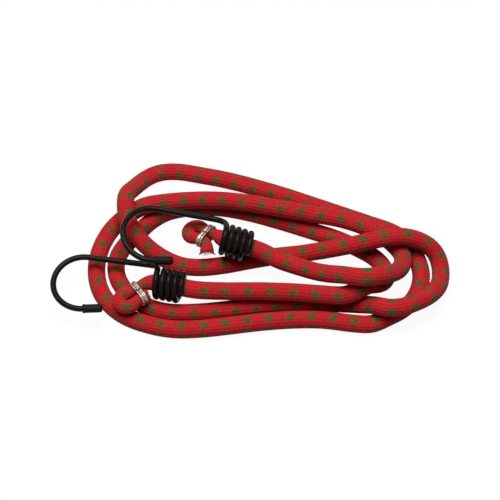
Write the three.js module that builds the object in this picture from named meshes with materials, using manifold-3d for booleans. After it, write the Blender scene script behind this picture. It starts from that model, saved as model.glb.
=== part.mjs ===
// A bungee cord laid down in loose loops, with a wire hook wound on each of its ends.
// Millimetres, +Z up. The cord lies on z = 0 and the middle of the whole lay is at x = y = 0.
import * as THREE from 'three';
import { mergeVertices } from 'three/addons/utils/BufferGeometryUtils.js';
import Module from 'manifold-3d';

// The cord: a braided sheath over a bundle of rubber strands
const cordDiameter = 9;
const coreDiameter = 5.4;
const outerStrands = 6;
const strandGap = 0.25;
const fitGap = 0.3;
const floorCut = 0.9;
const layDiameter = 9;
const cordSides = 8;
const strandSides = 3;
const stepAngle = THREE.MathUtils.degToRad(17);
const stepLength = 24;
const curveSamples = 1800;

// The clip that holds each end of the cord folded, so that it can't pull back through the hook
const clipPinch = 0.58;
const foldShare = 0.78;
const clipWidth = 3.2;
const clipThickness = 0.9;
const clipSeam = 0.6;
const clipFit = 0.45;
const clipArcSteps = 6;
const legGap = 0.8;
const foldReach = 7;
const foldRadius = 4.2;
const foldWrap = THREE.MathUtils.degToRad(15);
const foldSteps = 7;

// The hooks: coated steel wire, wound round the cord and bent to a hook
const wireDiameter = 2.8;
const coilRadius = 6.8;
const coilTurns = 4.25;
const coilPitch = 3.25;
const coilStepsPerTurn = 16;
const wireSides = 6;
const coilEndAngle = THREE.MathUtils.degToRad(60);
const shankOffset = 9;
const shankRun = 8;
const hookReach = 43.6;
const bendRadius = 14.6;
const layBend = 14.6;
const bendSweep = THREE.MathUtils.degToRad(190);
const bendSteps = 15;
const tipRun = 8.7;

// The soft sleeve on the tip of each hook
const sleeveDiameter = 4.3;
const sleeveLength = 9.8;
const sleeveCover = 8.5;
const sleeveRound = 0.8;
const sleeveSides = 10;

// Heights in the lay were chosen for a cord of layDiameter, and go up and down with the cord's own
const lift = cordDiameter / layDiameter;

// Where the two coils sit on the cord, which way each hook points, and how far its plane leans up
const firstCoil = new THREE.Vector3(-39.6, -29.5, 13.2 * lift);
const firstTurn = THREE.MathUtils.degToRad(168);
const firstRise = THREE.MathUtils.degToRad(0.5);
const firstLean = THREE.MathUtils.degToRad(5);
const firstSkew = THREE.MathUtils.degToRad(3.6);
const secondCoil = new THREE.Vector3(-7, -6.7, 17.2 * lift);
const secondTurn = THREE.MathUtils.degToRad(166);
// A wider bend brings the second hook's tip over the first hook's coil, so that hook then rises more
const secondRise = THREE.MathUtils.degToRad(11.2 + 21 * (bendRadius / layBend - 1));
const secondLean = THREE.MathUtils.degToRad(5);
const secondSkew = THREE.MathUtils.degToRad(8.8);

// Where the clips sit, which way each folded end points and dips, and where its cut end lies
const firstClip = new THREE.Vector3(-54.9, -33.9, 12.6 * lift);
const firstFoldTurn = THREE.MathUtils.degToRad(216);
const firstFoldDip = THREE.MathUtils.degToRad(2);
const firstCutEnd = new THREE.Vector3(-50.75, -34.75, 12.6 * lift);
const secondClip = new THREE.Vector3(-22, -0.8, 14.4 * lift);
const secondFoldTurn = THREE.MathUtils.degToRad(144);
const secondFoldDip = THREE.MathUtils.degToRad(14);
const secondCutEnd = new THREE.Vector3(-21, -9.2, 13 * lift);

// The route of the cord between the two coils, chosen by eye along the lay: x, y and the height of its
// middle, which is low where the cord lies on the floor
const low = layDiameter / 2 - floorCut;
const frontRun = [
  [-12, -32.9, 13], [5, -33, 13.2], [22, -33.8, 13.4], [36, -35.3, 13.9], [46, -36.6, 15],
  [52.5, -35.3, 16.8], [58, -32, 17], [63, -28.8, 13], [66.8, -24.8, 9.4], [68.3, -18.5, 5.8],
  [67, -12, 4.2], [63.3, -6.5, low],
];
const innerLoop = [
  [54, 0, low], [44.5, 5.2, low], [30, 11, low], [15, 16.7, low], [0, 21.7, low], [-15, 25, low],
  [-31, 25, low], [-43, 22, low], [-51, 16.4, low], [-56.5, 10, low], [-62, 3.4, low], [-66.3, -4, low],
  [-67.7, -11.5, low], [-66.5, -19, low], [-63, -25.5, low], [-57, -32, low], [-50, -36.5, low],
];
const middleRun = [
  [-40, -39.3, low], [-28, -39.4, low], [-14, -38, low], [2, -35.5, low], [18, -34, low], [34, -33.8, low],
  [46, -34.5, 4.2], [53, -36.2, 6.2], [58, -38.5, 9.4], [62.5, -41, 12.4], [67.5, -43, 13.6], [74, -43, 14],
  [81, -40, 13.6], [88, -35, 11.8], [93, -28, 8.2], [95.6, -20, 4.8], [95.9, -13, 5], [94.2, -7.7, 7.8],
  [90, -4.7, 11.8],
];
const crossRun = [
  [84, -3.7, 15.6], [77.5, -3.6, 18.2], [71, -3.9, 18.4], [62, -4.6, 16.5], [52, -5.3, 13.7], [42, -5.8, 11],
  [32, -5.3, 7.3], [23, -4.8, 4.4], [13, -5.5, low], [0, -8, low], [-12, -10.7, low], [-24, -12.3, low],
  [-33, -11.7, low], [-42, -8.5, 4.6], [-50, -4.5, 7.8], [-56, 0, 11.5], [-60.3, 5, 15], [-62.5, 10.5, 17.2],
  [-63.3, 17, 18.3],
];
const backRun = [
  [-62.9, 23.5, 17], [-60.5, 31.3, 11.5], [-57.8, 38.6, 6.3], [-53.6, 44.7, low], [-46.9, 48, low],
  [-38, 48.6, low], [-26, 46.3, low], [-12, 43, low], [3, 38.2, low], [18, 32.7, low], [33, 26.5, low],
  [48, 20.2, low], [61, 14.7, low], [73.3, 9.2, low], [81.3, 1.9, low], [84.6, -7.2, low], [86.2, -16, low],
  [84.9, -24.5, low], [81.3, -32, low], [75.5, -37.8, low],
];
const outerRun = [
  [68, -42.3, low], [60, -46.2, low], [51, -46.9, low], [36, -44.8, low], [22, -43.6, low], [6, -44.9, low],
  [-9, -47, low], [-24, -48.9, low], [-38, -49.2, low], [-51, -46.3, low], [-61, -42, low], [-68.5, -36, low],
  [-73.6, -29, low], [-76.5, -21, low], [-77.5, -12, low], [-76.5, -3, low], [-74, 5, low], [-70.5, 11.3, 4.3],
  [-65.5, 16, 6.2], [-59.5, 18.6, 9.3], [-53, 20, 12.7],
];
const topRun = [
  [-44, 21.5, 13.1], [-32, 22.8, 13.1], [-16, 23, 13.1], [0, 21, 13.1], [15, 17.8, 13.1], [31, 14.3, 13],
  [45, 12, 12.2], [57, 8.6, 10.7], [66, 4.2, 9.6], [72.2, -1.2, 8.6], [76.5, -7.8, 8.8], [76.3, -15.5, 12],
  [73.8, -22.3, 16.2], [68.8, -28.3, 21.4], [61.5, -32.6, 25.8], [56, -34, 27], [50.5, -33, 26.2],
  [45, -29.8, 22.9], [39.5, -26.2, 18.3], [33, -22.8, 15.2], [26, -19.7, 14.2], [14, -15, 14.4],
];

// How the cord leaves each coil towards its folded end: one more point and the share of its thickness there
const firstLead = [[-51, -27.9, 13, 0.78]];
const secondLead = [[-16.3, -2.4, 17.7, 0.68]];

const wasm = await Module();
wasm.setup();
const upward = new THREE.Vector3(0, 0, 1);

const sheathRed = new THREE.MeshStandardMaterial({ color: 0xc4202c, roughness: 0.8, metalness: 0 });
const rubber = new THREE.MeshStandardMaterial({ color: 0xd8cdb4, roughness: 0.7, metalness: 0 });
const blackWire = new THREE.MeshStandardMaterial({ color: 0x1a1a18, roughness: 0.45, metalness: 0.2 });
const blackSleeve = new THREE.MeshStandardMaterial({ color: 0x202020, roughness: 0.6, metalness: 0 });
const clipSteel = new THREE.MeshStandardMaterial({ color: 0xc9c4b8, roughness: 0.35, metalness: 1 });

function direction(turn, rise) {
  return new THREE.Vector3(Math.cos(rise) * Math.cos(turn), Math.cos(rise) * Math.sin(turn), Math.sin(rise));
}

// A hook's own frame: x along the cord towards the bend, y across to its shank, z square to its plane and down
function hookFrame(turn, rise, lean) {
  const along = direction(turn, rise);
  const level = new THREE.Vector3().crossVectors(along, upward).normalize();
  const across = level.clone().applyAxisAngle(along, -lean);
  if (across.y < 0) across.copy(level.negate()).applyAxisAngle(along, -lean);
  const square = new THREE.Vector3().crossVectors(along, across);
  return { along, across, square };
}

// Points of the folded end, from its cut end to where it turns towards the coil
function foldedEnd(clip, turn, dip, cutEnd) {
  const out = direction(turn, -dip);
  const across = new THREE.Vector3(out.y, -out.x, 0).normalize();
  if (across.y > 0) across.negate();
  const legOffset = clipPinch * cordDiameter / 2 + legGap / 2;
  const half = clipWidth / 2 + 3 * fitGap;
  const at = (reach, side, share) => ({
    at: clip.clone().addScaledVector(out, reach).addScaledVector(across, side),
    share,
  });
  const points = [];
  points.push({ at: cutEnd.clone(), share: 1.05 * clipPinch });
  points.push(at(-half, legOffset, clipPinch));
  points.push(at(half, legOffset, clipPinch));
  for (let i = 0; i <= foldSteps; i += 1) {
    const angle = -foldWrap + (Math.PI + 2 * foldWrap) * i / foldSteps;
    points.push(at(foldReach + foldRadius * Math.sin(angle), foldRadius * Math.cos(angle), foldShare));
  }
  points.push(at(half, -legOffset, clipPinch));
  points.push(at(-half, -legOffset, clipPinch));
  return { points, out, across };
}

// Points on the straight through a coil, from the folded end's side to the open side
function coilLine(coil, along) {
  const reach = [7.6, 2.5, -2.5, -7.6, -13];
  return reach.map((t) => ({ at: coil.clone().addScaledVector(along, t), share: 1 }));
}

function runPoints(run) {
  return run.map(([x, y, z]) => ({ at: new THREE.Vector3(x, y, z * lift), share: 1 }));
}

function leadPoints(lead) {
  return lead.map(([x, y, z, share]) => ({ at: new THREE.Vector3(x, y, z * lift), share }));
}

// Frames along the cord, with one cross direction level, so that each strand keeps its place in the bundle
function levelFrames(points, headings, shares) {
  return points.map((middle, i) => {
    const side = new THREE.Vector3().crossVectors(headings[i], upward).normalize();
    const other = new THREE.Vector3().crossVectors(headings[i], side);
    return { middle, side, other, share: shares[i] };
  });
}

// Frames along a wire's points, carried without twist; each has a middle, two cross directions and a share
function carriedFrames(points, headings) {
  const list = [];
  const bend = new THREE.Quaternion();
  let side = new THREE.Vector3().crossVectors(headings[0], upward).normalize();
  for (let i = 0; i < points.length; i += 1) {
    if (i > 0) {
      bend.setFromUnitVectors(headings[i - 1], headings[i]);
      side = side.clone().applyQuaternion(bend);
    }
    const other = new THREE.Vector3().crossVectors(headings[i], side);
    list.push({ middle: points[i], side, other, share: 1 });
  }
  return list;
}

function headingsOf(points) {
  return points.map((point, i) => {
    const before = points[Math.max(i - 1, 0)];
    const after = points[Math.min(i + 1, points.length - 1)];
    return new THREE.Vector3().subVectors(after, before).normalize();
  });
}

// A closer look at a curve: every sample with its share and its distance along
function sampleCord(route) {
  const curve = new THREE.CatmullRomCurve3(route.map((p) => p.at), false, 'centripetal');
  const samples = [];
  let along = 0;
  for (let i = 0; i <= curveSamples; i += 1) {
    const t = i / curveSamples;
    const point = curve.getPoint(t);
    point.z = Math.max(point.z, low * lift);
    const place = t * (route.length - 1);
    const index = Math.min(Math.floor(place), route.length - 2);
    const share = THREE.MathUtils.lerp(route[index].share, route[index + 1].share, place - index);
    if (i > 0) along += point.distanceTo(samples[i - 1].point);
    samples.push({ point, share, along });
  }
  return samples;
}

// Stations for the faceted tube: close together in the bends, far apart on the straights
function stations(samples) {
  const headings = headingsOf(samples.map((s) => s.point));
  const kept = [0];
  const end = samples.length - 1;
  for (let i = 1; i < end; i += 1) {
    const last = kept[kept.length - 1];
    const turned = headings[last].angleTo(headings[i]) > stepAngle;
    const pinched = Math.abs(samples[i].share - samples[last].share) > 0.06;
    const far = samples[i].along - samples[last].along > stepLength;
    if (turned || pinched || far) kept.push(i);
  }
  kept.push(end);
  return levelFrames(
    kept.map((i) => samples[i].point),
    kept.map((i) => headings[i]),
    kept.map((i) => samples[i].share),
  );
}

function polygon(sides, radius, x = 0, y = 0, start = 0) {
  const points = [];
  for (let i = 0; i < sides; i += 1) {
    const angle = start + 2 * Math.PI * i / sides;
    points.push(new THREE.Vector2(x + radius * Math.cos(angle), y + radius * Math.sin(angle)));
  }
  return points;
}

function ringOf(frame, outline) {
  return outline.map((p) => frame.middle.clone()
    .addScaledVector(frame.side, p.x * frame.share)
    .addScaledVector(frame.other, p.y * frame.share));
}

// A closed tube along frames. With an inner outline it is a pipe, open at both ends
function tube(list, outline, inner = null) {
  const sides = outline.length;
  const position = [];
  const index = [];
  const rings = inner ? [outline, inner] : [outline];
  for (const shape of rings) {
    for (const frame of list) {
      for (const p of ringOf(frame, shape)) position.push(p.x, p.y, p.z);
    }
  }
  const vertex = (layer, k, i) => (layer * list.length + k) * sides + (i % sides);
  const quad = (a, b, c, d) => index.push(a, b, c, a, c, d);
  const last = list.length - 1;
  for (let i = 0; i < sides; i += 1) {
    for (let k = 0; k < last; k += 1) {
      quad(vertex(0, k, i), vertex(0, k, i + 1), vertex(0, k + 1, i + 1), vertex(0, k + 1, i));
      if (inner) quad(vertex(1, k, i), vertex(1, k + 1, i), vertex(1, k + 1, i + 1), vertex(1, k, i + 1));
    }
    if (inner) {
      quad(vertex(0, 0, i), vertex(1, 0, i), vertex(1, 0, i + 1), vertex(0, 0, i + 1));
      quad(vertex(0, last, i), vertex(0, last, i + 1), vertex(1, last, i + 1), vertex(1, last, i));
    } else if (i > 0 && i < sides - 1) {
      index.push(vertex(0, 0, 0), vertex(0, 0, i + 1), vertex(0, 0, i));
      index.push(vertex(0, last, 0), vertex(0, last, i), vertex(0, last, i + 1));
    }
  }
  const geometry = new THREE.BufferGeometry();
  geometry.setAttribute('position', new THREE.Float32BufferAttribute(position, 3));
  geometry.setIndex(index);
  geometry.computeVertexNormals();
  return geometry;
}

function solid(geometry) {
  const bare = geometry.clone();
  bare.deleteAttribute('normal');
  bare.deleteAttribute('uv');
  const merged = mergeVertices(bare, 1e-4);
  return new wasm.Manifold(new wasm.Mesh({
    numProp: 3,
    vertProperties: new Float32Array(merged.attributes.position.array),
    triVerts: new Uint32Array(merged.index.array),
  }));
}

function geometryOf(body) {
  const mesh = body.getMesh();
  const geometry = new THREE.BufferGeometry();
  geometry.setAttribute('position', new THREE.Float32BufferAttribute(mesh.vertProperties, 3));
  geometry.setIndex(new THREE.Uint32BufferAttribute(mesh.triVerts, 1));
  geometry.computeVertexNormals();
  return geometry;
}

// The least gap of an unbroken tube to itself, between places further apart along it than apart
function leastGap(samples, radius, apart) {
  let least = Infinity;
  for (let i = 0; i < samples.length; i += 1) {
    for (let j = i + 1; j < samples.length; j += 1) {
      if (samples[j].along - samples[i].along < apart) continue;
      const space = samples[i].point.distanceTo(samples[j].point);
      least = Math.min(least, space - radius * (samples[i].share + samples[j].share));
    }
  }
  return least;
}

function named(name, geometry, material) {
  const mesh = new THREE.Mesh(geometry, material);
  mesh.name = name;
  return mesh;
}

// The cord from cut end to cut end
const firstFrame = hookFrame(firstTurn, firstRise, firstLean);
const secondFrame = hookFrame(secondTurn, secondRise, secondLean);
const firstEnd = foldedEnd(firstClip, firstFoldTurn, firstFoldDip, firstCutEnd);
const secondEnd = foldedEnd(secondClip, secondFoldTurn, secondFoldDip, secondCutEnd);
const cordRoute = [
  ...firstEnd.points,
  ...leadPoints(firstLead),
  ...coilLine(firstCoil, firstFrame.along),
  ...[frontRun, innerLoop, middleRun, crossRun, backRun, outerRun, topRun].flatMap(runPoints),
  ...coilLine(secondCoil, secondFrame.along).reverse(),
  ...leadPoints(secondLead),
  ...secondEnd.points.slice().reverse(),
];
const cordSamples = sampleCord(cordRoute);
const cordFrames = stations(cordSamples);
const cordLength = cordSamples[cordSamples.length - 1].along;
const cordGap = leastGap(cordSamples, cordDiameter / 2, 1.3 * cordDiameter);
console.log(`cord length ${cordLength.toFixed(0)} mm, least gap to itself ${cordGap.toFixed(2)} mm`);

function braidedSheath() {
  const pipe = solid(tube(
    cordFrames,
    polygon(cordSides, cordDiameter / 2),
    polygon(cordSides, coreDiameter / 2 + fitGap),
  ));
  const box = new THREE.Box3().setFromPoints(cordSamples.map((s) => s.point));
  box.expandByScalar(2 * cordDiameter);
  const size = box.getSize(new THREE.Vector3());
  const ground = new THREE.BoxGeometry(size.x, size.y, 2 * cordDiameter);
  const middle = box.getCenter(new THREE.Vector3());
  ground.translate(middle.x, middle.y, -cordDiameter);
  return geometryOf(pipe.subtract(solid(ground)));
}

function rubberStrand(x, y, radius, start) {
  return tube(cordFrames, polygon(strandSides, radius, x, y, start));
}

const strandRadius = (coreDiameter / 2 - strandGap) / 3;
const strandPitch = 2 * strandRadius + strandGap;
const cord = new THREE.Group();
cord.add(named('braided_sheath', braidedSheath(), sheathRed));
cord.add(named('rubber_strand_middle', rubberStrand(0, 0, strandRadius, 0), rubber));
for (let i = 0; i < outerStrands; i += 1) {
  const angle = 2 * Math.PI * i / outerStrands;
  const x = strandPitch * Math.cos(angle);
  const y = strandPitch * Math.sin(angle);
  cord.add(named(`rubber_strand_${i + 1}`, rubberStrand(x, y, strandRadius, angle), rubber));
}

// A flat band bent round both legs of a folded end, its two ends nearly meeting on top
function clipBand() {
  const legRadius = clipPinch * cordDiameter / 2;
  const straight = legRadius + legGap / 2;
  const innerRadius = legRadius + clipFit;
  const outerRadius = innerRadius + clipThickness;
  const half = clipSeam / 2;
  const shape = new THREE.Shape();
  shape.moveTo(half, innerRadius);
  shape.lineTo(half, outerRadius);
  shape.lineTo(straight, outerRadius);
  shape.absarc(straight, 0, outerRadius, Math.PI / 2, -Math.PI / 2, true);
  shape.lineTo(-straight, -outerRadius);
  shape.absarc(-straight, 0, outerRadius, -Math.PI / 2, -3 * Math.PI / 2, true);
  shape.lineTo(-half, outerRadius);
  shape.lineTo(-half, innerRadius);
  shape.lineTo(-straight, innerRadius);
  shape.absarc(-straight, 0, innerRadius, Math.PI / 2, 3 * Math.PI / 2, false);
  shape.lineTo(straight, -innerRadius);
  shape.absarc(straight, 0, innerRadius, -Math.PI / 2, Math.PI / 2, false);
  const band = new THREE.ExtrudeGeometry(shape, {
    depth: clipWidth,
    bevelEnabled: false,
    curveSegments: clipArcSteps,
  });
  band.translate(0, 0, -clipWidth / 2);
  return band;
}

function endClip(name, clip, end) {
  const mesh = named(name, clipBand(), clipSteel);
  const top = new THREE.Vector3().crossVectors(end.out, end.across);
  if (top.z < 0) top.negate();
  const through = new THREE.Vector3().crossVectors(end.across, top);
  mesh.quaternion.setFromRotationMatrix(new THREE.Matrix4().makeBasis(end.across, top, through));
  mesh.position.copy(clip);
  return mesh;
}

// The middle line of a hook's wire in the hook's own frame, and where its bend begins in the list
function hookLine(skew) {
  const points = [];
  const coilSteps = Math.round(coilTurns * coilStepsPerTurn);
  const coilLength = coilTurns * coilPitch;
  for (let i = 0; i <= coilSteps; i += 1) {
    const back = 1 - i / coilSteps;
    const angle = coilEndAngle + 2 * Math.PI * coilTurns * back;
    const x = coilLength / 2 - coilLength * back;
    points.push(new THREE.Vector3(x, coilRadius * Math.cos(angle), -coilRadius * Math.sin(angle)));
  }
  const end = points[points.length - 1];
  const climb = coilPitch / (2 * Math.PI * coilRadius);
  const heading = new THREE.Vector3(climb, Math.sin(coilEndAngle), Math.cos(coilEndAngle));
  const straight = new THREE.Vector3(Math.cos(skew), -Math.sin(skew), 0);
  const shankStart = new THREE.Vector3(end.x + shankRun, shankOffset, 0);
  const handle = 0.62 * shankRun;
  const sweep = new THREE.CubicBezierCurve3(
    end,
    end.clone().addScaledVector(heading.normalize(), handle),
    shankStart.clone().addScaledVector(straight, -handle),
    shankStart,
  );
  points.push(...sweep.getPoints(6).slice(1));
  const shankLength = hookReach - shankStart.x;
  const bendStart = shankStart.clone().addScaledVector(straight, shankLength);
  const inward = new THREE.Vector3(-straight.y, straight.x, 0).negate();
  const bendMiddle = bendStart.clone().addScaledVector(inward, bendRadius);
  const bendIndex = points.length;
  for (let i = 0; i <= bendSteps; i += 1) {
    const angle = bendSweep * i / bendSteps;
    points.push(bendMiddle.clone()
      .addScaledVector(inward, -bendRadius * Math.cos(angle))
      .addScaledVector(straight, bendRadius * Math.sin(angle)));
  }
  const bendEnd = points[points.length - 1];
  const tipWay = straight.clone().multiplyScalar(Math.cos(bendSweep));
  tipWay.addScaledVector(inward, Math.sin(bendSweep));
  const tipEnd = bendEnd.clone().addScaledVector(tipWay, tipRun);
  points.push(tipEnd);
  return { points, bendIndex, tipEnd, tipWay };
}

// Wire frames, turned together so that a flat of the wire faces the inside of the bend
function wireFrames(line) {
  const list = carriedFrames(line.points, headingsOf(line.points));
  const first = list[line.bendIndex];
  const flat = new THREE.Vector3(0, 0, 1);
  const off = Math.atan2(flat.dot(first.other), flat.dot(first.side));
  for (const frame of list) {
    const { side, other } = frame;
    const cos = Math.cos(off);
    const sin = Math.sin(off);
    frame.side = side.clone().multiplyScalar(cos).addScaledVector(other, sin);
    frame.other = other.clone().multiplyScalar(cos).addScaledVector(side, -sin);
  }
  return list;
}

function tipSleeve() {
  const outer = sleeveDiameter / 2;
  const bore = wireDiameter / 2 + fitGap;
  const depth = sleeveCover + fitGap;
  const profile = [
    new THREE.Vector2(0, depth),
    new THREE.Vector2(bore, depth),
    new THREE.Vector2(bore, 0),
    new THREE.Vector2(outer - fitGap, 0),
    new THREE.Vector2(outer, fitGap),
    new THREE.Vector2(outer, sleeveLength - sleeveRound),
    new THREE.Vector2(outer - sleeveRound / 2, sleeveLength - sleeveRound / 4),
    new THREE.Vector2(outer - sleeveRound, sleeveLength),
    new THREE.Vector2(0, sleeveLength),
  ];
  return new THREE.LatheGeometry(profile, sleeveSides);
}

function hook(number, coil, frame, skew) {
  const line = hookLine(skew);
  const group = new THREE.Group();
  const wire = tube(wireFrames(line), polygon(wireSides, wireDiameter / 2));
  group.add(named(`hook_wire_${number}`, wire, blackWire));
  const sleeve = named(`tip_sleeve_${number}`, tipSleeve(), blackSleeve);
  sleeve.quaternion.setFromUnitVectors(new THREE.Vector3(0, 1, 0), line.tipWay);
  sleeve.position.copy(line.tipEnd).addScaledVector(line.tipWay, -sleeveCover);
  group.add(sleeve);
  const basis = new THREE.Matrix4().makeBasis(frame.along, frame.across, frame.square);
  group.quaternion.setFromRotationMatrix(basis);
  group.position.copy(coil);
  let along = 0;
  const samples = line.points.map((point, i) => {
    if (i > 0) along += point.distanceTo(line.points[i - 1]);
    return { point, share: 1, along };
  });
  const gap = leastGap(samples, wireDiameter / 2, 4 * wireDiameter);
  console.log(`hook wire ${number}: length ${along.toFixed(0)} mm, least gap to itself ${gap.toFixed(2)} mm`);
  return group;
}

const bungeeCord = new THREE.Group();
bungeeCord.name = 'bungee_cord';
bungeeCord.add(cord);
bungeeCord.add(endClip('end_clip_1', firstClip, firstEnd));
bungeeCord.add(endClip('end_clip_2', secondClip, secondEnd));
bungeeCord.add(hook(1, firstCoil, firstFrame, firstSkew));
bungeeCord.add(hook(2, secondCoil, secondFrame, secondSkew));

export default bungeeCord;
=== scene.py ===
# Bungee cord lying in loose loops on a white floor, with a wire hook wound on each end
import math

import bpy
import numpy as np
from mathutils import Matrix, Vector


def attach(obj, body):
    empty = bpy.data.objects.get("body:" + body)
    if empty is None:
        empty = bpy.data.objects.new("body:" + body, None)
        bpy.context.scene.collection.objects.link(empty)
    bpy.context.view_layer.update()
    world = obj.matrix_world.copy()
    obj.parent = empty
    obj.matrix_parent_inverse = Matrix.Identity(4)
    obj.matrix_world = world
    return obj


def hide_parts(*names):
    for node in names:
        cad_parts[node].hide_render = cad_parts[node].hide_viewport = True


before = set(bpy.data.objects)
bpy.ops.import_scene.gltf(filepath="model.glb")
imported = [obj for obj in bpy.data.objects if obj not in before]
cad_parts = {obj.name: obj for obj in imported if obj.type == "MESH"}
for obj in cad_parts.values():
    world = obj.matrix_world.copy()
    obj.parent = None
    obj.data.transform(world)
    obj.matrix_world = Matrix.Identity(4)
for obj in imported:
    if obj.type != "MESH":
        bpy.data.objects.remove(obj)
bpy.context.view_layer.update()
mm = 0.001
print("frame loaded:", len(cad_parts), "nodes")

# the photograph's view; lengths in millimetres
shot = {
    "target": (0.0, 1.0, 0.0),
    "distance": 870.0,
    "elevation": 55.0,
    "focalPixels": 1702.5,  # for a picture 500 pixels wide
    "pictureWidth": 500.0,
    "sensorWidth": 36.0,
    "nearest": 10.0,
}


def addCamera(spec):
    data = bpy.data.cameras.new("photoCamera")
    data.sensor_width = spec["sensorWidth"]
    data.lens = spec["sensorWidth"] * spec["focalPixels"] / spec["pictureWidth"]
    data.clip_start = spec["nearest"] * mm
    camera = bpy.data.objects.new("photoCamera", data)
    bpy.context.collection.objects.link(camera)
    tilt = math.radians(spec["elevation"])
    back = Vector((0.0, -math.cos(tilt), math.sin(tilt)))
    camera.location = (Vector(spec["target"]) + back * spec["distance"]) * mm
    camera.rotation_euler = (math.pi / 2 - tilt, 0.0, 0.0)
    bpy.context.scene.camera = camera
    return back


towardsCamera = np.array(addCamera(shot))
print("camera set")

low = 3.6  # height of the cord's middle where it lies on the floor

# the cord: its route from cut end to cut end, x, y and height of its middle, and how it is made
cordSpec = {
    "diameter": 9.0,
    "sides": 64,
    "ringStep": 0.44,
    "perSpan": 24,  # samples from one point of the route to the next
    "easing": 2.0,  # how far along the route its corners are eased
    "frontRun": [
        (-12, -32.9, 13), (5, -33, 13.2), (22, -33.8, 13.4), (36, -35.3, 13.9), (46, -36.6, 15),
        (52.5, -35.3, 16.8), (58, -32, 17), (63, -28.8, 13), (66.8, -24.8, 9.4), (68.3, -18.5, 5.8),
        (67, -12, 4.2), (63.3, -6.5, low),
    ],
    "innerLoop": [
        (54, 0, low), (44.5, 5.2, low), (30, 11, low), (15, 16.7, low), (0, 21.7, low), (-15, 25, low),
        (-31, 25, low), (-43, 22, low), (-51, 16.4, low), (-56.5, 10, low), (-62, 3.4, low),
        (-66.3, -4, low), (-67.7, -11.5, low), (-66.5, -19, low), (-63, -25.5, low), (-57, -32, low),
        (-50, -36.5, low),
    ],
    "middleRun": [
        (-40, -39.3, low), (-28, -39.4, low), (-14, -38, low), (2, -35.5, low), (18, -34, low),
        (34, -33.8, low), (46, -34.5, 4.2), (53, -36.2, 6.2), (58, -38.5, 9.4), (62.5, -41, 12.4),
        (67.5, -43, 13.6), (74, -43, 14), (81, -40, 13.6), (88, -35, 11.8), (93, -28, 8.2),
        (95.6, -20, 4.8), (95.9, -13, 5), (94.2, -7.7, 7.8), (90, -4.7, 11.8),
    ],
    "crossRun": [
        (84, -3.7, 15.6), (77.5, -3.6, 18.2), (71, -3.9, 18.4), (62, -4.6, 16.5), (52, -5.3, 13.7),
        (42, -5.8, 11), (32, -5.3, 7.3), (23, -4.8, 4.4), (13, -5.5, low), (0, -8, low),
        (-12, -10.7, low), (-24, -12.3, low), (-33, -11.7, low), (-42, -8.5, 4.6), (-50, -4.5, 7.8),
        (-56, 0, 11.5), (-60.3, 5, 15), (-62.5, 10.5, 17.2), (-63.3, 17, 18.3),
    ],
    "backRun": [
        (-62.9, 23.5, 17), (-60.5, 31.3, 11.5), (-57.8, 38.6, 6.3), (-53.6, 44.7, low),
        (-46.9, 48, low), (-38, 48.6, low), (-26, 46.3, low), (-12, 43, low), (3, 38.2, low),
        (18, 32.7, low), (33, 26.5, low), (48, 20.2, low), (61, 14.7, low), (73.3, 9.2, low),
        (81.3, 1.9, low), (84.6, -7.2, low), (86.2, -16, low), (84.9, -24.5, low), (81.3, -32, low),
        (75.5, -37.8, low),
    ],
    "outerRun": [
        (68, -42.3, low), (60, -46.2, low), (51, -45.8, low), (36, -43.7, low), (22, -43.6, low),
        (6, -44.9, low), (-9, -47, low), (-24, -48.9, low), (-38, -49.2, low), (-51, -46.3, low),
        (-61, -42, low), (-68.5, -36, low), (-73.6, -29, low), (-76.5, -21, low), (-77.5, -12, low),
        (-76.5, -3, low), (-74, 5, low), (-70.5, 11.3, 4.3), (-65.5, 16, 6.2), (-59.5, 18.6, 9.3),
        (-53, 20, 12.7),
    ],
    "topRun": [
        (-44, 21.5, 13.1), (-32, 22.8, 13.1), (-16, 23, 13.1), (0, 21, 13.1), (15, 17.8, 13.1),
        (31, 14.3, 13), (45, 12, 12.2), (57, 8.6, 10.7), (66, 4.2, 9.6), (72.2, -1.2, 8.6),
        (76.5, -7.8, 8.8), (76.3, -15.5, 12), (73.8, -22.3, 16.2), (68.8, -28.3, 21.4),
        (61.5, -32.6, 25.8), (56, -34, 27), (50.5, -33, 26.2), (45, -29.8, 22.9), (39.5, -26.2, 18.3),
        (33, -22.8, 15.2), (26, -19.7, 14.2), (14, -15, 14.4),
    ],
    # from each coil towards its folded end, with the share of the cord's thickness there
    "firstLead": [(-51, -27.9, 13, 0.78)],
    "secondLead": [(-16.3, -2.4, 17.7, 0.68)],
    "coilReach": (7.6, 2.5, -2.5, -7.6, -13),
}

# the folded end that each clip holds; pinch, bulge and flare are shares of thickness
foldSpec = {
    "pinch": 0.58,  # of the cord, inside the clip
    "bulge": 0.78,  # of the cord, round the fold
    "legGap": 0.8,
    "legRun": 2.5,
    "reach": 7.0,
    "radius": 4.2,
    "wrap": 15.0,
    "steps": 7,
    "ends": {
        1: {
            "clip": (-54.9, -33.9, 12.6), "turn": 216.0, "dip": 2.0,
            "cut": (-50.75, -34.75, 12.6), "flare": 1.05,  # of the pinched cord, at its cut end
        },
        2: {
            "clip": (-22, -0.8, 14.4), "turn": 144.0, "dip": 14.0,
            "cut": (-21.6, -8.9, 13), "flare": 1.4,
        },
    },
}

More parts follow.
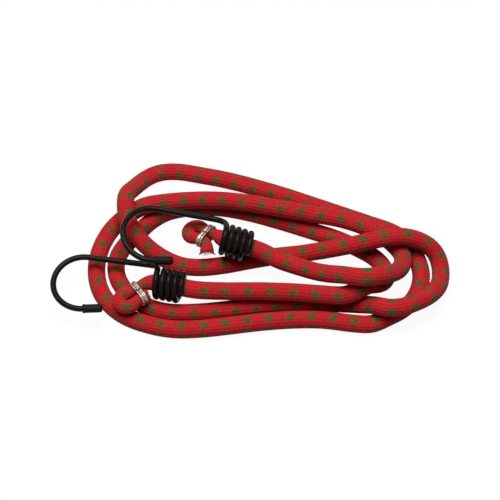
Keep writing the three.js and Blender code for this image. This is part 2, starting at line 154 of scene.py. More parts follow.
# the hooks: where each coil sits, which way it points, and the wire's own form
hookSpec = {
    "wire": 3.0,
    "cutShare": 0.82,  # of the wire's thickness, at its cut end
    "coilRadius": 6.8,
    "coilTurns": 4.25,
    "coilPitch": 3.25,
    "coilEnd": 60.0,
    "coilSteps": 48,  # in each turn
    "shankOffset": 9.0,
    "shankRun": 8.0,
    "sweepHandle": 0.62,  # how softly the wire leaves the coil
    "sweepSteps": 24,
    "reach": 43.6,
    "runSteps": 12,
    "bendRadius": 14.6,
    "bendSweep": 190.0,
    "bendSteps": 64,
    "tipRun": 8.7,
    "tipSteps": 6,
    "sides": 18,
    "ends": {
        1: {"coil": (-39.6, -29.5, 13.2), "turn": 168.0, "rise": 0.5, "lean": 5.0, "skew": 3.6},
        2: {"coil": (-7, -6.7, 17.2), "turn": 166.0, "rise": 11.2, "lean": 5.0, "skew": 8.8},
    },
}


def unit(v):
    v = np.asarray(v, float)
    return v / np.linalg.norm(v)


def unitRows(v):
    return v / np.linalg.norm(v, axis=1)[:, None]


def heading(turn, rise):
    turn, rise = math.radians(turn), math.radians(rise)
    level = math.cos(rise)
    return np.array((level * math.cos(turn), level * math.sin(turn), math.sin(rise)))


def turned(v, axis, degrees):
    c, s = math.cos(math.radians(degrees)), math.sin(math.radians(degrees))
    return v * c + np.cross(axis, v) * s + axis * np.dot(axis, v) * (1 - c)


# a hook's own axes: along the cord towards the bend, across to its shank, and square to its plane
def hookAxes(end):
    along = heading(end["turn"], end["rise"])
    level = unit(np.cross(along, (0, 0, 1)))
    across = turned(level, along, -end["lean"])
    if across[1] < 0:
        across = turned(-level, along, -end["lean"])
    return along, across, np.cross(along, across)


# from the clip out to the fold, and level across to the leg with the cut end
def foldAxes(end):
    out = heading(end["turn"], -end["dip"])
    across = unit((out[1], -out[0], 0.0))
    return out, (-across if across[1] > 0 else across)


# points of a folded end from its cut end on, each with its share of the cord's thickness
def foldedEnd(spec, end, diameter):
    out, across = foldAxes(end)
    leg = spec["pinch"] * diameter / 2 + spec["legGap"] / 2
    run = spec["legRun"]

    def at(reach, side, share):
        return (*(np.array(end["clip"]) + out * reach + across * side), share)

    points = [(*end["cut"], end["flare"] * spec["pinch"])]
    points += [at(-run, leg, spec["pinch"]), at(run, leg, spec["pinch"])]
    wrap = math.radians(spec["wrap"])
    for i in range(spec["steps"] + 1):
        a = -wrap + (math.pi + 2 * wrap) * i / spec["steps"]
        reach = spec["reach"] + spec["radius"] * math.sin(a)
        points.append(at(reach, spec["radius"] * math.cos(a), spec["bulge"]))
    points += [at(run, -leg, spec["pinch"]), at(-run, -leg, spec["pinch"])]
    return points


def coilLine(end, reach):
    along = hookAxes(end)[0]
    return [(*(np.array(end["coil"]) + along * t), 1.0) for t in reach]


def wholeRoute():
    d = cordSpec["diameter"]
    points = foldedEnd(foldSpec, foldSpec["ends"][1], d) + cordSpec["firstLead"]
    points += coilLine(hookSpec["ends"][1], cordSpec["coilReach"])
    for run in ("frontRun", "innerLoop", "middleRun", "crossRun", "backRun", "outerRun", "topRun"):
        points += [(*p, 1.0) for p in cordSpec[run]]
    points += coilLine(hookSpec["ends"][2], cordSpec["coilReach"])[::-1]
    points += cordSpec["secondLead"] + foldedEnd(foldSpec, foldSpec["ends"][2], d)[::-1]
    return np.array(points, float)


# a smooth curve through every point; the fourth column changes evenly from one point to the next
def smoothThrough(points, perSpan):
    before = 2 * points[0] - points[1]
    after = 2 * points[-1] - points[-2]
    p = np.vstack((before, points, after))
    t = np.arange(perSpan)[:, None] / perSpan
    spans = []
    for p0, p1, p2, p3 in zip(p, p[1:], p[2:], p[3:]):
        pairs = ((p0, p1), (p1, p2), (p2, p3))
        d0, d1, d2 = (math.sqrt(np.linalg.norm((b - a)[:3])) for a, b in pairs)
        m1 = ((p1 - p0) / d0 - (p2 - p0) / (d0 + d1) + (p2 - p1) / d1) * d1
        m2 = ((p2 - p1) / d1 - (p3 - p1) / (d1 + d2) + (p3 - p2) / d2) * d1
        squared = 3 * (p2 - p1) - 2 * m1 - m2
        cubed = 2 * (p1 - p2) + m1 + m2
        span = p1 + m1 * t + squared * t ** 2 + cubed * t ** 3
        span[:, 3] = (p1 + (p2 - p1) * t)[:, 3]
        spans.append(span)
    return np.vstack(spans + [points[-1:]])


def evenSteps(points, step):
    lengths = np.linalg.norm(np.diff(points[:, :3], axis=0), axis=1)
    gone = np.concatenate(([0.0], np.cumsum(lengths)))
    want = np.linspace(0, gone[-1], int(round(gone[-1] / step)) + 1)
    return np.stack([np.interp(want, gone, column) for column in points.T], axis=1), want


# every column smoothed by a bell-shaped mean, cut off at three times its reach
def eased(values, reach, step):
    half = int(3 * reach / step)
    weights = np.exp(-0.5 * (np.arange(-half, half + 1) * step / reach) ** 2)
    weights /= weights.sum()
    start = 2 * values[0] - values[half:0:-1]
    finish = 2 * values[-1] - values[-2:-half - 2:-1]
    padded = np.vstack((start, values, finish))
    return np.stack([np.convolve(column, weights, "valid") for column in padded.T], axis=1)


def cordLine():
    step = cordSpec["ringStep"]
    line, _ = evenSteps(smoothThrough(wholeRoute(), cordSpec["perSpan"]), step)
    line = eased(line, cordSpec["easing"], step)
    line[:, 2] = np.maximum(line[:, 2], low)
    line, gone = evenSteps(line, step)
    return line[:, :3], line[:, 3], gone


cordMiddle, cordShare, cordGone = cordLine()
cordLength = cordGone[-1]
print("cord line: %.0f mm long, %d rings" % (cordLength, len(cordGone)))

# the braid: yarns each way round, how far one yarn runs in a whole turn, and the rows of green spots
braidSpec = {
    "yarns": 16,
    "over": 2,  # yarns that each one passes over, and then under
    "lead": 21.0,
    "relief": 0.3,
    "wall": 1.3,
    "lipRings": 8,  # how far the inner wall is carried in at a cut end
    "spotEvery": 8,  # strokes from one green spot to the next
    "spotLong": 3,  # strokes in a spot
    "spotRound": 8,  # columns from one row of spots round to the next
    "spotWide": 4,  # columns in a spot
    # a spot lies at each of these places along the cord, turned this far round it from the camera's side
    "spotMarks": [
        (75, 0), (142, 0), (290, -30), (382, 0), (423, 20), (504, 26), (577, 20), (702, 3),
        (740.5, 32), (754.7, 24), (770.2, 17), (850, 10), (1063, 24), (1105, 15), (1140, 0), (1183, 3),
        (1285, -6), (1341, -48), (1377, -14), (1408, -10),
    ],
}


# place along the cord against place along the braid: whole numbers of spots between the marks
def braidRun():
    stroke = braidSpec["lead"] / braidSpec["yarns"]
    pitch = stroke * braidSpec["spotEvery"]
    places = [place for place, _ in braidSpec["spotMarks"]]
    runs = [places[0]]
    for a, b in zip(places, places[1:]):
        runs.append(runs[-1] + pitch * max(1, round((b - a) / pitch)))
    shift = runs[0] % pitch - stroke * (braidSpec["spotLong"] - 1) / 2  # a mark is the middle of its spot
    runs = [runs[0] - places[0]] + runs + [runs[-1] + cordLength - places[-1]]
    return np.interp(cordGone, [0.0] + places + [cordLength], runs) - shift


# where a point lies on the yarn that is uppermost there, across it and along its crown
def braidPlace(turnsRound, run):
    over = braidSpec["over"]
    a = braidSpec["yarns"] * (turnsRound + run / braidSpec["lead"])
    b = braidSpec["yarns"] * (turnsRound - run / braidSpec["lead"])
    column = np.mod(np.floor(a) + np.floor(b), 2 * over)
    fa, fb = a - np.floor(a), b - np.floor(b)
    first = column < over
    across = np.where(first, fa, fb)
    along = np.where(first, (column + fb) / over, (column - over + fa) / over)
    return across, along


# how far a yarn stands up: 1 on its crown, 0 where it dives under the next
def braidHeight(turnsRound, run):
    across, along = braidPlace(turnsRound, run)
    bow = np.sqrt(np.clip(1 - (2 * across - 1) ** 2, 0, 1))
    return bow * np.sqrt(np.clip(np.sin(np.pi * along), 0, 1))


def addMesh(name, points, faces):
    mesh = bpy.data.meshes.new(name)
    mesh.from_pydata(np.asarray(points).tolist(), [], [list(map(int, f)) for f in faces])
    mesh.polygons.foreach_set("use_smooth", [True] * len(mesh.polygons))
    mesh.update()
    piece = bpy.data.objects.new(name, mesh)
    bpy.context.collection.objects.link(piece)
    return piece


# the way the cord runs at each ring and two directions across it, the first towards the camera's side
def cordRings():
    ahead = unitRows(np.gradient(cordMiddle, axis=0))
    side = unitRows(towardsCamera - ahead * (ahead @ towardsCamera)[:, None])
    other = np.cross(ahead, side)
    places, rolls = zip(*braidSpec["spotMarks"])
    oneColumn = 360.0 / braidSpec["yarns"]
    roll = np.radians(np.interp(cordGone, places, rolls) - oneColumn)[:, None]
    first = side * np.cos(roll) + other * np.sin(roll)
    return ahead, first, np.cross(ahead, first)


cordAhead, cordSide, cordOther = cordRings()


# directions round a tube, one row of them for each ring
def aroundRings(side, other, sides):
    angle = 2 * np.pi * np.arange(sides) / sides
    out = np.cos(angle)[None, :, None] * side[:, None, :]
    return out + np.sin(angle)[None, :, None] * other[:, None, :]


def tubeFaces(rings, sides):
    k, i = np.meshgrid(np.arange(rings - 1), np.arange(sides), indexing="ij")
    j = (i + 1) % sides
    corners = (k * sides + i, k * sides + j, (k + 1) * sides + j, (k + 1) * sides + i)
    return np.stack(corners, axis=-1).reshape(-1, 4)


def closedTube(rings, sides, base=0):
    last = base + (rings - 1) * sides
    faces = (tubeFaces(rings, sides) + base).tolist()
    return faces + [[base + i for i in reversed(range(sides))], [last + i for i in range(sides)]]


def braidedSheath():
    sides = cordSpec["sides"]
    outer = cordSpec["diameter"] / 2
    run = braidRun()
    height = braidHeight(np.arange(sides)[None, :] / sides, run[:, None])
    radius = (outer - braidSpec["relief"] * (1 - height)) * cordShare[:, None]
    # at both cut ends the wall turns in and runs back a little way inside
    inner = (outer - braidSpec["wall"]) * cordShare[:, None] * np.ones(sides)
    lip, last = braidSpec["lipRings"], len(cordGone) - 1
    ring = np.concatenate(([lip, 0], np.arange(last + 1), [last, last - lip]))
    radius = np.vstack((inner[lip], inner[0], radius, inner[last], inner[last - lip]))
    out = aroundRings(cordSide, cordOther, sides)
    points = cordMiddle[ring][:, None, :] + radius[:, :, None] * out[ring]
    points[:, :, 2] = np.maximum(points[:, :, 2], 0.0)  # settled on the floor
    piece = addMesh("braided_cord", points.reshape(-1, 3) * mm, tubeFaces(len(ring), sides))
    # the braid's own coordinates: turns round the cord, and millimetres along the braid
    k, i = np.meshgrid(np.arange(len(ring) - 1), np.arange(sides), indexing="ij")
    u = np.stack((i, i + 1, i + 1, i), axis=-1) / sides
    here, ahead = run[ring[k]], run[ring[k + 1]]
    v = np.stack((here, here, ahead, ahead), axis=-1)
    layer = piece.data.uv_layers.new(name="braid")
    layer.data.foreach_set("uv", np.stack((u, v), axis=-1).astype(np.float32).ravel())
    return piece


sheath = braidedSheath()
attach(sheath, "cord")
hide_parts("braided_sheath")
print("braided cord made")

# the bundle of rubber strands inside, seen at the two cut ends
coreSpec = {
    "diameter": 5.4,
    "gap": 0.25,
    "outer": 6,
    "sides": 10,
    "every": 8,  # rings of the sheath to one of a strand
    "dome": 0.35,  # how far a cut strand swells out
    "domeShare": 0.6,  # of its thickness, there
}


def rubberBundle(spec):
    radius = (spec["diameter"] / 2 - spec["gap"]) / 3  # three strands and two gaps fit across
    pitch = 2 * radius + spec["gap"]
    sides, last = spec["sides"], len(cordGone) - 1
    keep = np.append(np.arange(0, last, spec["every"]), last)
    angle = 2 * np.pi * np.arange(sides) / sides
    # rings along the cord, with a small one past each end that rounds the cut off
    cap = spec["domeShare"]
    rings = [(keep[0], cap, -1), *((k, 1.0, 0) for k in keep), (keep[-1], cap, 1)]
    points, faces = [], []
    for strand in range(spec["outer"] + 1):
        turn = 2 * np.pi * strand / spec["outer"]
        reach = pitch if strand < spec["outer"] else 0.0
        for k, size, past in rings:
            x = reach * math.cos(turn) + size * radius * np.cos(angle)
            y = reach * math.sin(turn) + size * radius * np.sin(angle)
            flat = x[:, None] * cordSide[k] + y[:, None] * cordOther[k]
            points.append(cordMiddle[k] + flat * cordShare[k] + cordAhead[k] * past * spec["dome"])
        faces += closedTube(len(rings), sides, strand * len(rings) * sides)
    return addMesh("rubber_bundle", np.vstack(points) * mm, faces)


bundle = rubberBundle(coreSpec)
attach(bundle, "cord")
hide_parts("rubber_strand_middle", *["rubber_strand_%d" % i for i in range(1, 7)])
print("rubber bundle made")


# cross directions along any line, carried without twist
def carriedAxes(line):
    ahead = unitRows(np.gradient(line, axis=0))
    steep = abs(ahead[0][2]) >= 0.8
    side = [unit(np.cross(ahead[0], (0.0, 1.0, 0.0) if steep else (0.0, 0.0, 1.0)))]
    for way in ahead[1:]:
        side.append(unit(side[-1] - way * np.dot(side[-1], way)))
    side = np.array(side)
    return side, np.cross(ahead, side)


def tubePoints(line, radii, sides):
    ring = aroundRings(*carriedAxes(line), sides)
    return (line[:, None, :] + ring * np.asarray(radii)[:, None, None]).reshape(-1, 3)


# loose yarn ends round each cut end of the sheath; the last six make each of them stray in its own way
fraySpec = {
    "yarns": 30,
    "thick": 0.24,
    "tip": 0.1,
    "sides": 5,
    "steps": 7,
    "long": {1: 1.1, 2: 1.9},
    "root": -0.5,  # share of its length that is inside the sheath
    "taperFrom": 0.3,
    "flare": 0.55,
    "strayWave": (12.9, 3.1),
    "strayTurn": 0.3,
    "strayOut": 0.06,
    "strayAside": 0.8,
    "uneven": 0.25,
    "unevenWave": 5.3,
}


def frayedEnd(number, spec):
    at, way = (0, -1.0) if number == 1 else (-1, 1.0)
    middle, ahead = cordMiddle[at], cordAhead[at] * way
    edge = (cordSpec["diameter"] / 2 - braidSpec["wall"] / 2) * cordShare[at]
    t = np.linspace(spec["root"], 1, spec["steps"])[:, None]
    thickness = (spec["thick"], spec["thick"], spec["tip"])
    radii = np.interp(t[:, 0], (spec["root"], spec["taperFrom"], 1), thickness)
    points, faces = [], []
    for i in range(spec["yarns"]):
        stray = math.sin(spec["strayWave"][0] * i + spec["strayWave"][1] * number)
        turn = 2 * np.pi * (i + spec["strayTurn"] * stray) / spec["yarns"]
        out = cordSide[at] * math.cos(turn) + cordOther[at] * math.sin(turn)
        aside = np.cross(ahead, out)
        uneven = spec["uneven"] * math.sin(spec["unevenWave"] * i)
        reach = spec["long"][number] * (1 - spec["uneven"] + uneven)
        bend = spec["flare"] * reach * np.clip(t, 0, 1) ** 2
        line = middle + out * edge * (1 + spec["strayOut"] * stray) + ahead * reach * t
        line = line + out * bend + aside * bend * spec["strayAside"] * stray
        faces += closedTube(len(line), spec["sides"], i * len(line) * spec["sides"])
        points.append(tubePoints(line, radii, spec["sides"]))
    return addMesh("frayed_end_%d" % number, np.vstack(points) * mm, faces)


frayedEnds = []
for number in (1, 2):
    piece = frayedEnd(number, fraySpec)
    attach(piece, "cord")
    frayedEnds.append(piece)
print("frayed ends made")


# even shares of a run, from just past its start to its end, as a column
def evenShares(count):
    return (np.arange(1, count + 1) / count)[:, None]


# a hook's wire, from the cut end of its coil to its tip, in the hook's own axes
def hookLine(spec, end):
    turns, radius = spec["coilTurns"], spec["coilRadius"]
    length = turns * spec["coilPitch"]
    steps = int(turns * spec["coilSteps"])
    back = 1 - np.arange(steps + 1) / steps
    endAngle = math.radians(spec["coilEnd"])
    angle = endAngle + 2 * np.pi * turns * back
    coil = np.stack((length / 2 - length * back, radius * np.cos(angle), -radius * np.sin(angle)), axis=1)
    leave = unit((spec["coilPitch"] / (2 * np.pi * radius), math.sin(endAngle), math.cos(endAngle)))
    skew = math.radians(end["skew"])
    straight = np.array((math.cos(skew), -math.sin(skew), 0.0))
    inward = np.array((straight[1], -straight[0], 0.0))
    # out of the coil in one sweep, then straight along the shank
    shank = np.array((coil[-1][0] + spec["shankRun"], spec["shankOffset"], 0.0))
    handle = spec["sweepHandle"] * spec["shankRun"]
    b0, b1, b2, b3 = coil[-1], coil[-1] + leave * handle, shank - straight * handle, shank
    t = evenShares(spec["sweepSteps"])
    sweep = b0 * (1 - t) ** 3 + 3 * b1 * t * (1 - t) ** 2 + 3 * b2 * t ** 2 * (1 - t) + b3 * t ** 3
    bendStart = shank + straight * (spec["reach"] - shank[0])
    run = shank + (bendStart - shank) * evenShares(spec["runSteps"])
    # round the bend and on to the tip
    bendAngle = math.radians(spec["bendSweep"])
    a = bendAngle * evenShares(spec["bendSteps"])
    bend = bendStart + spec["bendRadius"] * (inward * (1 - np.cos(a)) + straight * np.sin(a))
    tipWay = straight * math.cos(bendAngle) + inward * math.sin(bendAngle)
    tip = bend[-1] + tipWay * spec["tipRun"] * evenShares(spec["tipSteps"])
    return np.vstack((coil, sweep, run, bend, tip)), tipWay


def toFrame(points, end):
    return np.array(end["coil"]) + points @ np.array(hookAxes(end))


# the soft sleeve pushed on each tip: radius against distance from its open end
sleeveSpec = {
    "cover": 8.5,
    "sides": 40,
    "seamSide": (0.3, 0.2, 1.0),  # any direction that isn't along the tip
    "profile": [
        (1.55, 1.2), (1.56, 0.15), (1.78, 0.0), (2.1, 0.05), (2.26, 0.2), (2.3, 0.45), (2.25, 0.8),
        (2.16, 1.1), (2.12, 1.9), (2.12, 4.4), (2.15, 7.4), (2.13, 8.3), (2.03, 8.95), (1.8, 9.42),
        (1.4, 9.68), (0.8, 9.78), (0.02, 9.8),
    ],
}


def tipSleeve(name, tip, back, spec):
    side = unit(np.cross(back, spec["seamSide"]))
    other = np.cross(back, side)
    out = aroundRings(side[None, :], other[None, :], spec["sides"])[0]
    points = np.vstack([tip + back * (run - spec["cover"]) + out * r for r, run in spec["profile"]])
    return addMesh(name, points * mm, tubeFaces(len(spec["profile"]), spec["sides"]))


hookWires, tipSleeves = [], []
for number, end in hookSpec["ends"].items():
    line, tipWay = hookLine(hookSpec, end)
    radii = np.full(len(line), hookSpec["wire"] / 2)
    radii[0] *= hookSpec["cutShare"]
    points = tubePoints(toFrame(line, end), radii, hookSpec["sides"])
    wire = addMesh("wire_hook_%d" % number, points * mm, closedTube(len(line), hookSpec["sides"]))
    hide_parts("hook_wire_%d" % number)
    back = tipWay @ np.array(hookAxes(end))
    sleeve = tipSleeve("soft_tip_%d" % number, toFrame(line[-1], end), back, sleeveSpec)
    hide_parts("tip_sleeve_%d" % number)
    for piece in (wire, sleeve):
        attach(piece, "hook_%d" % number)
    hookWires.append(wire)
    tipSleeves.append(sleeve)
print("hooks made")

# the crimped band round each folded end: its section, across its width and out from the cord
clipSpec = {
    "fit": 0.45,
    "seam": 0.6,
    "lipSteps": 6,
    "arcSteps": 24,
    "flatSteps": 10,
    "section": [
        (-1.5, 0.0), (-1.6, 0.12), (-1.6, 0.55), (-1.45, 0.78), (-1.15, 0.9), (-0.8, 0.88), (-0.5, 0.7),
        (-0.22, 0.5), (0.0, 0.46), (0.22, 0.5), (0.5, 0.7), (0.8, 0.88), (1.15, 0.9), (1.45, 0.78),
        (1.6, 0.55), (1.6, 0.12), (1.5, 0.0),
    ],
}


def clipBand(name, end, spec):
    out, across = foldAxes(end)
    top = np.cross(out, across)
    top = -top if top[2] < 0 else top
    through = np.cross(across, top)
    leg = foldSpec["pinch"] * cordSpec["diameter"] / 2
    half, inner, seam = leg + foldSpec["legGap"] / 2, leg + spec["fit"], spec["seam"] / 2
    # places round both legs from seam to seam, each with the way out from the cord
    path = [((x, inner), (0.0, 1.0)) for x in np.linspace(seam, half, spec["lipSteps"])]
    arc = np.arange(1, spec["arcSteps"]) * 180.0 / spec["arcSteps"]
    for middle, start in ((half, 90.0), (-half, -90.0)):
        for a in np.radians(start - arc):
            way = (math.cos(a), math.sin(a))
            path.append(((middle + inner * way[0], inner * way[1]), way))
        if middle > 0:
            path += [((x, -inner), (0.0, -1.0)) for x in np.linspace(half, -half, spec["flatSteps"])]
    path += [((x, inner), (0.0, 1.0)) for x in np.linspace(-half, -seam, spec["lipSteps"])]
    points = []
    for (x, y), (nx, ny) in path:
        for w, h in spec["section"]:
            points.append(np.array(end["clip"]) + across * (x + nx * h) + top * (y + ny * h) + through * w)
    return addMesh(name, np.array(points) * mm, closedTube(len(path), len(spec["section"])))


endClips = []
for number, end in foldSpec["ends"].items():
    clip = clipBand("crimped_clip_%d" % number, end, clipSpec)
    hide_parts("end_clip_%d" % number)
    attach(clip, "cord")
    endClips.append(clip)
print("clips made")


# a colour given as a picture holds it, as the shaders want it
def srgb(r, g, b):
    def straight(c):
        c /= 255
        return c / 12.92 if c <= 0.04045 else ((c + 0.055) / 1.055) ** 2.4
    return (straight(r), straight(g), straight(b), 1.0)


def feed(tree, slot, value):
    if isinstance(value, (int, float, tuple)):
        slot.default_value = value
    else:
        tree.links.new(value, slot)


def mathNode(tree, operation, *values):
    node = tree.nodes.new("ShaderNodeMath")
    node.operation = operation
    for slot, value in zip(node.inputs, values):
        feed(tree, slot, value)
    return node.outputs[0]


# sockets 6 and 7 of a colour mix take the two colours, and 2 gives the mixed one
def mixColour(tree, factor, a, b, blend="MIX"):
    node = tree.nodes.new("ShaderNodeMix")
    node.data_type = "RGBA"
    node.blend_type = blend
    for slot, value in ((0, factor), (6, a), (7, b)):
        feed(tree, node.inputs[slot], value)
    return node.outputs[2]


def spread(tree, value, fromLow, fromHigh, toLow=0.0, toHigh=1.0):
    node = tree.nodes.new("ShaderNodeMapRange")
    for slot, given in zip(node.inputs, (value, fromLow, fromHigh, toLow, toHigh)):
        feed(tree, slot, given)
    return node.outputs[0]


def newMaterial(name):
    material = bpy.data.materials.new(name)
    material.use_nodes = True
    return material, material.node_tree, material.node_tree.nodes["Principled BSDF"]


def addBump(tree, shader, height, strength, distance):
    bump = tree.nodes.new("ShaderNodeBump")
    bump.inputs["Strength"].default_value = strength
    bump.inputs["Distance"].default_value = distance
    tree.links.new(height, bump.inputs["Height"])
    tree.links.new(bump.outputs[0], shader.inputs["Normal"])


# fine grain, and larger rubbed patches, over any surface
grainSpec = {
    "inputs": {"Grain Scale": 900.0, "Patch Scale": 120.0, "Patch Share": 0.5},
    "detail": {"Grain Scale": 3.0, "Patch Scale": 5.0},
    "patchLevel": 0.72,  # noise above this is a patch where the share is none
    "patchReach": 0.44,  # how far a whole share lowers that level
    "patchBlur": 0.12,
}


def grainGroup(spec):
    group = bpy.data.node_groups.new("grainAndPatches", "ShaderNodeTree")
    for name, start in spec["inputs"].items():
        socket = group.interface.new_socket(name, in_out="INPUT", socket_type="NodeSocketFloat")
        socket.default_value = start
    for name in ("Grain", "Patches"):
        group.interface.new_socket(name, in_out="OUTPUT", socket_type="NodeSocketFloat")
    given = group.nodes.new("NodeGroupInput")
    made = group.nodes.new("NodeGroupOutput")
    place = group.nodes.new("ShaderNodeTexCoord").outputs["Object"]
    noises = []
    for scale, detail in spec["detail"].items():
        noise = group.nodes.new("ShaderNodeTexNoise")
        noise.inputs["Detail"].default_value = detail
        group.links.new(place, noise.inputs["Vector"])
        group.links.new(given.outputs[scale], noise.inputs["Scale"])
        noises.append(noise.outputs[0])
    lowered = mathNode(group, "MULTIPLY", given.outputs["Patch Share"], spec["patchReach"])
    edge = mathNode(group, "SUBTRACT", spec["patchLevel"], lowered)
    patches = spread(group, noises[1], edge, mathNode(group, "ADD", edge, spec["patchBlur"]))
    group.links.new(noises[0], made.inputs["Grain"])
    group.links.new(patches, made.inputs["Patches"])
    return group


grain = grainGroup(grainSpec)


def placeGrain(tree, spec):
    node = tree.nodes.new("ShaderNodeGroup")
    node.node_tree = grain
    node.inputs["Grain Scale"].default_value = spec["grainScale"]
    node.inputs["Patch Scale"].default_value = spec["patchScale"]
    node.inputs["Patch Share"].default_value = spec["patchShare"]
    return node.outputs["Grain"], node.outputs["Patches"]


# finishes of the smooth pieces; rubbed is the colour of the worn or dusty patches
finishSpec = {
    "black_wire": {
        "pieces": hookWires,
        "base": srgb(14, 14, 12), "dark": srgb(7, 7, 6), "rubbed": srgb(50, 46, 38),
        "rub": 0.2, "rough": (0.22, 0.4), "metallic": 0.0, "specular": 0.08,
        "grainScale": 1500.0, "patchScale": 160.0, "patchShare": 0.35, "bump": 0.12,
    },
    "soft_black": {
        "pieces": tipSleeves,
        "base": srgb(20, 20, 18), "dark": srgb(11, 11, 10), "rubbed": srgb(48, 46, 42),
        "rub": 0.3, "rough": (0.5, 0.72), "metallic": 0.0, "specular": 0.09,
        "grainScale": 2200.0, "patchScale": 260.0, "patchShare": 0.45, "bump": 0.25,
    },
    "crimped_steel": {
        "pieces": endClips,
        "base": srgb(176, 168, 150), "dark": srgb(128, 120, 104), "rubbed": srgb(104, 92, 74),
        "rub": 0.5, "rough": (0.3, 0.52), "metallic": 1.0, "specular": 0.5,
        "grainScale": 1800.0, "patchScale": 420.0, "patchShare": 0.45, "bump": 0.1,
    },
    "pale_rubber": {
        "pieces": [bundle],
        "base": srgb(218, 204, 176), "dark": srgb(190, 172, 140), "rubbed": srgb(170, 120, 96),
        "rub": 0.4, "rough": (0.6, 0.85), "metallic": 0.0, "specular": 0.3,
        "grainScale": 1600.0, "patchScale": 500.0, "patchShare": 0.5, "bump": 0.3,
    },
    "loose_yarn": {
        "pieces": frayedEnds,
        "base": srgb(206, 40, 48), "dark": srgb(142, 14, 24), "rubbed": srgb(216, 104, 92),
        "rub": 0.4, "rough": (0.7, 0.9), "metallic": 0.0, "specular": 0.1,
        "grainScale": 3000.0, "patchScale": 900.0, "patchShare": 0.5, "bump": 0.3,
    },
}

# how grain and patches are mixed in all of those finishes
mixSpec = {"grainRange": (0.3, 0.7), "roughRange": (0.2, 0.8), "grainWeight": 0.5, "bumpDepth": 0.0002}


def grainedFinish(name, spec, mix):
    material, tree, shader = newMaterial(name)
    fine, patches = placeGrain(tree, spec)
    tone = mixColour(tree, spread(tree, fine, *mix["grainRange"]), spec["dark"], spec["base"])
    tone = mixColour(tree, mathNode(tree, "MULTIPLY", patches, spec["rub"]), tone, spec["rubbed"])
    tree.links.new(tone, shader.inputs["Base Color"])
    fromPatches = mathNode(tree, "MULTIPLY", patches, 1.0 - mix["grainWeight"])
    rough = mathNode(tree, "MULTIPLY_ADD", fine, mix["grainWeight"], fromPatches)
    rough = spread(tree, rough, *mix["roughRange"], *spec["rough"])
    tree.links.new(rough, shader.inputs["Roughness"])
    shader.inputs["Metallic"].default_value = spec["metallic"]
    shader.inputs["Specular IOR Level"].default_value = spec["specular"]
    addBump(tree, shader, fine, spec["bump"], mix["bumpDepth"])
    for piece in spec["pieces"]:
        piece.data.materials.append(material)


for name, spec in finishSpec.items():
    grainedFinish(name, spec, mixSpec)

# the braided sheath's finish, with painted shade in its crevices; fibre is grain together with threads
# that run along each yarn
sheathSpec = {
    "red": srgb(230, 49, 54),
    "redDeep": srgb(198, 33, 42),
    "green": srgb(116, 122, 62),
    "greenDeep": srgb(58, 66, 28),
    "gap": 0.5,  # share of the colour left where a yarn dives or meets the next: painted shade in the braid's crevices
    "yarnDrift": 0.12,
    "waysApart": 50.0,  # keeps the tints of the two ways of yarn apart
    "threads": 7.0,
    "threadWeight": 0.25,
    "fibreRange": (0.2, 0.8),
    "patchShade": 0.94,
    "roughness": 0.8,
    "specular": 0.06,
    "sheen": 0.06,
    "grainScale": 1500.0,
    "patchScale": 90.0,
    "patchShare": 0.5,
    "bump": 0.55,
    "bumpDepth": 0.0003,
    "fibreHeight": 0.2,
}


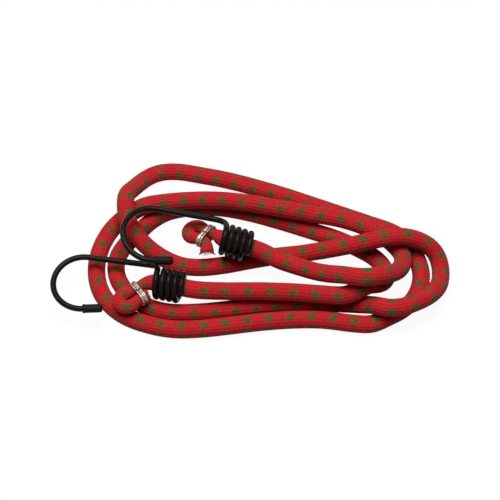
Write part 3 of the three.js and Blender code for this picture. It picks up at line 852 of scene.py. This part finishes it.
def braidMaterial(spec):
    material, tree, shader = newMaterial("red_braid")
    place = tree.nodes.new("ShaderNodeUVMap")
    place.uv_map = "braid"
    parts = tree.nodes.new("ShaderNodeSeparateXYZ")
    tree.links.new(place.outputs[0], parts.inputs[0])
    n, lead, over = float(braidSpec["yarns"]), braidSpec["lead"], float(braidSpec["over"])
    turns = mathNode(tree, "MULTIPLY", parts.outputs[0], n)
    run = mathNode(tree, "MULTIPLY", parts.outputs[1], n / lead)
    a, b = mathNode(tree, "ADD", turns, run), mathNode(tree, "SUBTRACT", turns, run)
    ia, ib = mathNode(tree, "FLOOR", a), mathNode(tree, "FLOOR", b)
    fa, fb = mathNode(tree, "SUBTRACT", a, ia), mathNode(tree, "SUBTRACT", b, ib)
    both = mathNode(tree, "ADD", ia, ib)
    column = mathNode(tree, "FLOORED_MODULO", both, 2 * over)
    second = mathNode(tree, "GREATER_THAN", column, over - 0.5)

    def either(one, two):
        return mathNode(tree, "MULTIPLY_ADD", second, mathNode(tree, "SUBTRACT", two, one), one)

    across = either(fa, fb)
    passed = mathNode(tree, "ADD", mathNode(tree, "FLOORED_MODULO", column, over), either(fb, fa))
    along = mathNode(tree, "MULTIPLY", passed, 1 / over)
    # crown of a yarn: 1 along its middle, 0 where it dives under the next
    bow = mathNode(tree, "SINE", mathNode(tree, "MULTIPLY", across, math.pi))
    dive = mathNode(tree, "SINE", mathNode(tree, "MULTIPLY", along, math.pi))
    crown = mathNode(tree, "POWER", mathNode(tree, "MULTIPLY", bow, dive), 0.5)
    # green spots: a few strokes long and a few columns wide
    odd = mathNode(tree, "FLOORED_MODULO", both, over)
    lean = mathNode(tree, "MULTIPLY", mathNode(tree, "MULTIPLY_ADD", second, -2.0, 1.0), odd)
    step = mathNode(tree, "ADD", mathNode(tree, "SUBTRACT", ia, ib), lean)
    stroke = mathNode(tree, "FLOOR", mathNode(tree, "MULTIPLY", step, 1 / over))
    columnPlace = mathNode(tree, "FLOORED_MODULO", both, float(braidSpec["spotRound"]))
    inColumn = mathNode(tree, "LESS_THAN", columnPlace, braidSpec["spotWide"] - 0.5)
    runPlace = mathNode(tree, "FLOORED_MODULO", stroke, float(braidSpec["spotEvery"]))
    inRun = mathNode(tree, "LESS_THAN", runPlace, braidSpec["spotLong"] - 0.5)
    spot = mathNode(tree, "MULTIPLY", inColumn, inRun)
    # every yarn has its own slight tint, and fibres that run along it
    yarn = tree.nodes.new("ShaderNodeTexWhiteNoise")
    yarn.noise_dimensions = "1D"
    index = mathNode(tree, "FLOORED_MODULO", either(ia, ib), n)
    tree.links.new(mathNode(tree, "MULTIPLY_ADD", second, spec["waysApart"], index), yarn.inputs["W"])
    threads = mathNode(tree, "SINE", mathNode(tree, "MULTIPLY", across, spec["threads"] * math.pi))
    fine, patches = placeGrain(tree, spec)
    fibre = mathNode(tree, "MULTIPLY_ADD", threads, spec["threadWeight"], fine)
    mixed = spread(tree, fibre, *spec["fibreRange"])
    red = mixColour(tree, mixed, spec["redDeep"], spec["red"])
    green = mixColour(tree, mixed, spec["greenDeep"], spec["green"])
    tone = mixColour(tree, spot, red, green)
    drift = mathNode(tree, "MULTIPLY_ADD", yarn.outputs[0], spec["yarnDrift"], 1.0 - spec["yarnDrift"])
    drift = mathNode(tree, "MULTIPLY", drift, spread(tree, patches, 0.0, 1.0, spec["patchShade"], 1.0))
    # painted shade: the colour darkens towards each yarn's edges and where it dives under the next, down
    # to the gap share; the yarn tints and patches are the braid's own colour
    paintedCreviceShade = mathNode(tree, "MULTIPLY_ADD", crown, 1.0 - spec["gap"], spec["gap"])
    yarnTintAndPaintedShade = mathNode(tree, "MULTIPLY", paintedCreviceShade, drift)
    grey = tree.nodes.new("ShaderNodeCombineColor")
    for slot in grey.inputs:
        tree.links.new(yarnTintAndPaintedShade, slot)
    tree.links.new(mixColour(tree, 1.0, tone, grey.outputs[0], "MULTIPLY"), shader.inputs["Base Color"])
    shader.inputs["Roughness"].default_value = spec["roughness"]
    shader.inputs["Specular IOR Level"].default_value = spec["specular"]
    shader.inputs["Sheen Weight"].default_value = spec["sheen"]
    height = mathNode(tree, "MULTIPLY_ADD", fibre, spec["fibreHeight"], crown)
    addBump(tree, shader, height, spec["bump"], spec["bumpDepth"])
    return material


sheath.data.materials.append(braidMaterial(sheathSpec))
print("finishes made")

# white floor, in metres
floorSpec = {"size": 3.0, "drop": 0.0001, "keepShadow": 0.06, "bounce": 0.4, "roughness": 0.9}
white = (1.0, 1.0, 1.0, 1.0)


# 1 for what the camera sees, also in a mirror or through glass
def seenRays(tree):
    rays = tree.nodes.new("ShaderNodeLightPath").outputs
    seen = mathNode(tree, "MAXIMUM", rays["Is Camera Ray"], rays["Is Glossy Ray"])
    return mathNode(tree, "MAXIMUM", seen, rays["Is Transmission Ray"])


def whiteFloor(spec):
    s, z = spec["size"], -spec["drop"]
    floor = addMesh("floor", [(-s, -s, z), (s, -s, z), (s, s, z), (-s, s, z)], [[0, 1, 2, 3]])
    material, tree, shader = newMaterial("white_floor")
    shader.inputs["Roughness"].default_value = spec["roughness"]
    shader.inputs["Specular IOR Level"].default_value = 0.0
    glow = tree.nodes.new("ShaderNodeEmission")
    seen = seenRays(tree)
    grey = (spec["bounce"],) * 3 + (1.0,)
    tree.links.new(mixColour(tree, seen, grey, white), shader.inputs["Base Color"])
    mix = tree.nodes.new("ShaderNodeMixShader")
    tree.links.new(mathNode(tree, "MULTIPLY", seen, 1.0 - spec["keepShadow"]), mix.inputs[0])
    tree.links.new(shader.outputs[0], mix.inputs[1])
    tree.links.new(glow.outputs[0], mix.inputs[2])
    tree.links.new(mix.outputs[0], tree.nodes["Material Output"].inputs[0])
    floor.data.materials.append(material)


whiteFloor(floorSpec)

# soft light from above, in metres and watts
lightSpec = {
    "world": 0.06,
    "lamps": {
        "above": {"place": (-0.1, 0.05, 1.05), "size": 0.75, "power": 11.8},
        "window": {"place": (0.15, 0.1, 1.2), "size": 0.12, "power": 1.8},
    },
}


def addLights(spec):
    world = bpy.data.worlds.new("softRoom")
    bpy.context.scene.world = world
    world.use_nodes = True
    tree = world.node_tree
    room = tree.nodes["Background"]
    room.inputs["Color"].default_value = white
    strength = mathNode(tree, "MULTIPLY_ADD", seenRays(tree), 1.0 - spec["world"], spec["world"])
    tree.links.new(strength, room.inputs["Strength"])
    for name, lamp in spec["lamps"].items():
        data = bpy.data.lights.new(name, "AREA")
        data.shape = "DISK"
        data.size = lamp["size"]
        data.energy = lamp["power"]
        light = bpy.data.objects.new(name, data)
        light.location = lamp["place"]
        light.rotation_euler = (-Vector(lamp["place"])).to_track_quat("-Z", "Y").to_euler()
        bpy.context.collection.objects.link(light)


addLights(lightSpec)
bpy.context.scene.view_settings.view_transform = "Standard"
print("floor and light set")
